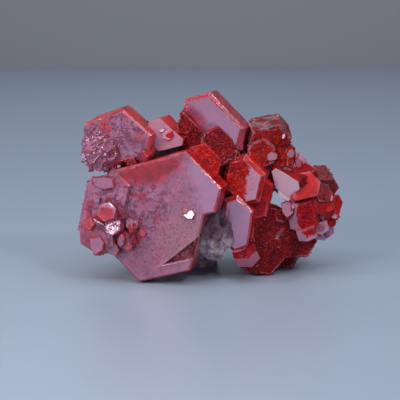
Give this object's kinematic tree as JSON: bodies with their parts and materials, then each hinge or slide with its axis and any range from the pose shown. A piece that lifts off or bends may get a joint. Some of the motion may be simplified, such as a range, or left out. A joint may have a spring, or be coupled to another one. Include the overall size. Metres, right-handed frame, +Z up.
{
  "type": "vanadinite on matrix",
  "caption": "Mineral specimen: thick six-sided plates of red vanadinite grown through one another on a small piece of pale, dark-stained rock.",
  "frame": {"origin": "centre of the footprint of the whole specimen's box, on the surface it stands on", "axes": "+X along the longest side, from the large plate towards the cluster of small blocks; +Y away from the side with the broad plate faces; +Z up"},
  "size_m": [0.0374, 0.0172, 0.0259],
  "materials": {
    "vanadinite_plate": "natural crystal faces, deep red, resinous gloss broken by fine pits and growth steps",
    "vanadinite_orange": "natural crystal faces, orange red, translucent at the edges, resinous gloss",
    "vanadinite_dark": "natural crystal faces, dark red, covered in places by fine sparkling crystals",
    "matrix_rock": "rough broken rock, pale grey with dark stains, matt"
  },
  "bodies": {
    "root": {"large_left_plate": "vanadinite_plate", "lower_middle_plate": "vanadinite_plate", "top_plate": "vanadinite_plate", "upper_left_plate": "vanadinite_plate", "centre_plate": "vanadinite_orange", "small_upper_plate": "vanadinite_orange", "upper_right_block": "vanadinite_dark", "right_wedge_crystal": "vanadinite_orange", "right_block": "vanadinite_orange", "right_leaning_plate": "vanadinite_dark", "far_right_upper_block": "vanadinite_dark", "far_right_lower_block": "vanadinite_orange", "lower_right_plate": "vanadinite_dark", "foot_crystal": "vanadinite_orange", "orange_plate": "vanadinite_orange", "centre_back_plate": "vanadinite_orange", "dark_middle_crystals": "vanadinite_dark", "right_edge_crystals": "vanadinite_orange", "lower_right_edge_crystals": "vanadinite_plate", "back_foot_crystal": "vanadinite_dark", "back_left_plate": "vanadinite_plate", "back_top_plate": "vanadinite_plate", "back_right_plate": "vanadinite_dark", "back_low_plate": "vanadinite_orange", "back_lower_right_plate": "vanadinite_plate", "left_side_plate": "vanadinite_plate", "back_upper_left_crystal": "vanadinite_orange", "back_far_right_block": "vanadinite_dark", "matrix_rock": "matrix_rock"}
  },
  "joints": []
}
